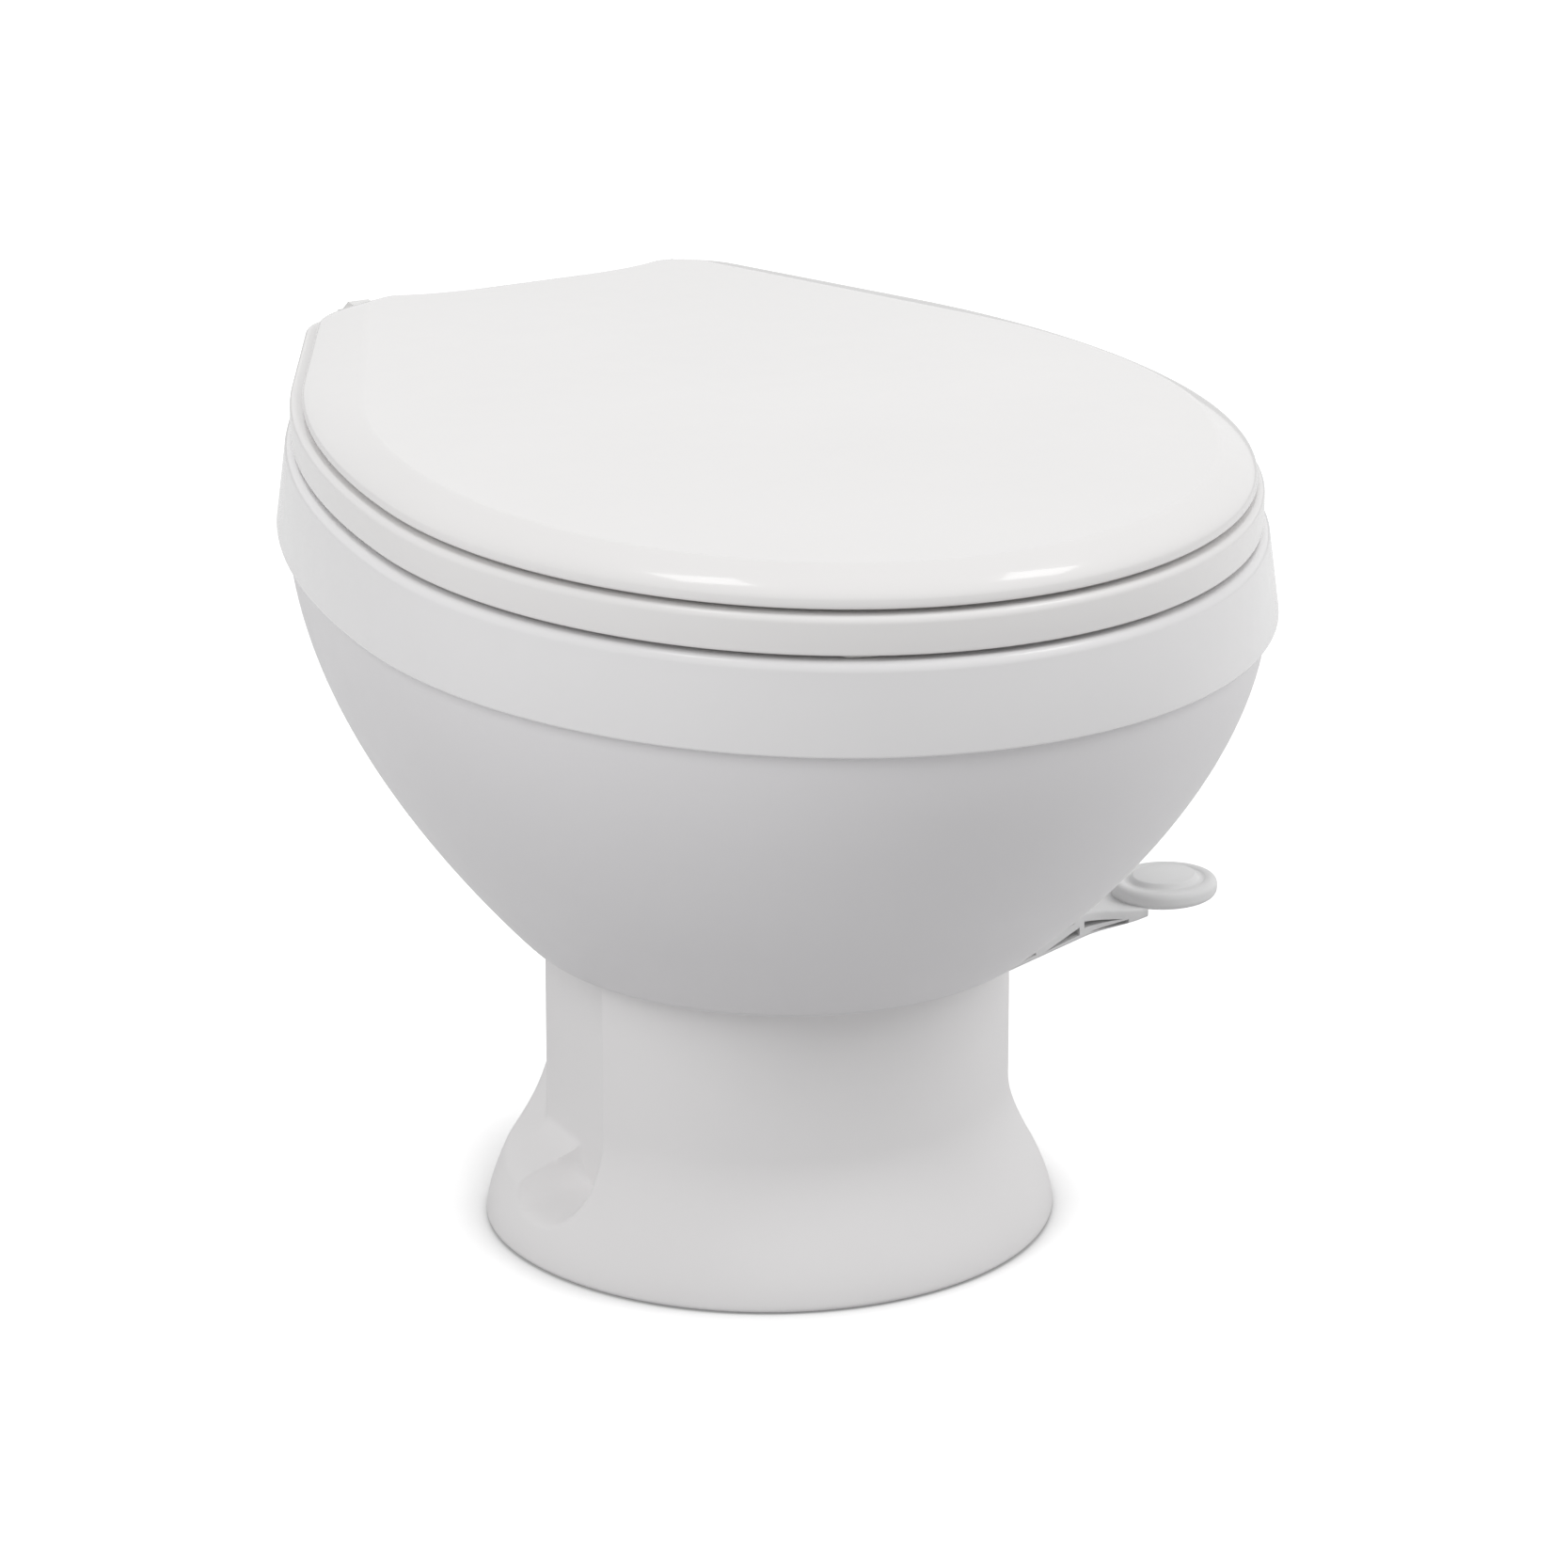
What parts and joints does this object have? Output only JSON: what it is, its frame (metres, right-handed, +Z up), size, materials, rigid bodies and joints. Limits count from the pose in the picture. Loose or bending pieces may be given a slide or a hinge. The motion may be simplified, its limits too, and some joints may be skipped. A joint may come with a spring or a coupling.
{
  "type": "rv toilet",
  "caption": "Low white travel-trailer toilet with a closed egg-shaped lid and seat on a flared round pedestal, and a ribbed foot pedal on the right that turns its flush ball.",
  "frame": {"origin": "on the floor, in the middle of the outline from above", "axes": "+Z up, the front of the bowl towards -Y, +X towards the pedal"},
  "size_m": [0.4322, 0.5084, 0.3447],
  "materials": {
    "seat_enamel": "smooth gloss white",
    "bowl_white": "smooth gloss white",
    "pedestal_white": "satin white",
    "pedal_white": "moulded white, lightly matt",
    "hinge_white": "moulded white",
    "valve_grey": "moulded grey",
    "zinc_steel": "plated",
    "black_rubber": "soft black",
    "bumper_white": "soft white",
    "hose_grey": "smooth grey"
  },
  "bodies": {
    "base": {"basin": "bowl_white", "bowl_shell": "bowl_white", "clamp_front": "zinc_steel", "clamp_rear": "zinc_steel", "clamp_screw_left": "zinc_steel", "clamp_screw_right": "zinc_steel", "floor_seal": "black_rubber", "flush_elbow": "valve_grey", "hinge_bolt_left": "zinc_steel", "hinge_bolt_right": "zinc_steel", "hinge_pin_left": "zinc_steel", "hinge_pin_right": "zinc_steel", "hinge_post_left": "hinge_white", "hinge_post_right": "hinge_white", "outlet_seal": "black_rubber", "pedal_bracket": "zinc_steel", "pedal_pin": "zinc_steel", "pedestal": "pedestal_white", "return_spring": "zinc_steel", "rim": "bowl_white", "shaft_bush_front": "hinge_white", "shaft_bush_rear": "hinge_white", "supply_hose": "hose_grey", "vacuum_breaker": "valve_grey", "valve_housing": "valve_grey", "water_valve": "valve_grey"},
    "seat": {"seat": "seat_enamel", "seat_bumper_left_front": "bumper_white", "seat_bumper_left_rear": "bumper_white", "seat_bumper_right_front": "bumper_white", "seat_bumper_right_rear": "bumper_white", "seat_leaf_left": "hinge_white", "seat_leaf_right": "hinge_white", "seat_screw_left_front": "zinc_steel", "seat_screw_left_rear": "zinc_steel", "seat_screw_right_front": "zinc_steel", "seat_screw_right_rear": "zinc_steel"},
    "lid": {"lid": "seat_enamel", "lid_bumper_left_front": "bumper_white", "lid_bumper_left_rear": "bumper_white", "lid_bumper_right_front": "bumper_white", "lid_bumper_right_rear": "bumper_white", "lid_leaf_left": "hinge_white", "lid_leaf_right": "hinge_white", "lid_screw_left_front": "zinc_steel", "lid_screw_left_rear": "zinc_steel", "lid_screw_right_front": "zinc_steel", "lid_screw_right_rear": "zinc_steel"},
    "pedal": {"pedal": "pedal_white"},
    "ball": {"flush_ball": "valve_grey", "drive_shaft": "zinc_steel", "pivot_stub": "zinc_steel", "pinion": "zinc_steel"}
  },
  "joints": [
    {"name": "seat_hinge", "type": "hinge", "parent": "base", "child": "seat", "pos_m": [-0.0306, 0.23705, 0.3215], "axis": [-1, 0, 0], "range_deg": [0, 95]},
    {"name": "lid_hinge", "type": "hinge", "parent": "seat", "child": "lid", "pos_m": [-0.0306, 0.23705, 0.3215], "axis": [-1, 0, 0], "range_deg": [0, 95]},
    {"name": "pedal_pivot", "type": "hinge", "parent": "base", "child": "pedal", "pos_m": [0.0214, 0.05755, 0.062], "axis": [0, 1, 0], "range_deg": [0, 18], "stiffness_Nm_per_rad": 1.2, "springref_deg": -34.38},
    {"name": "ball_turn", "type": "hinge", "parent": "base", "child": "ball", "pos_m": [-0.0306, -0.01695, 0.062], "axis": [0, 1, 0], "range_deg": [-86.5, 0]}
  ],
  "couplings": [
    {"joint": "ball_turn", "follows": "pedal_pivot", "ratio": -4.7778}
  ]
}
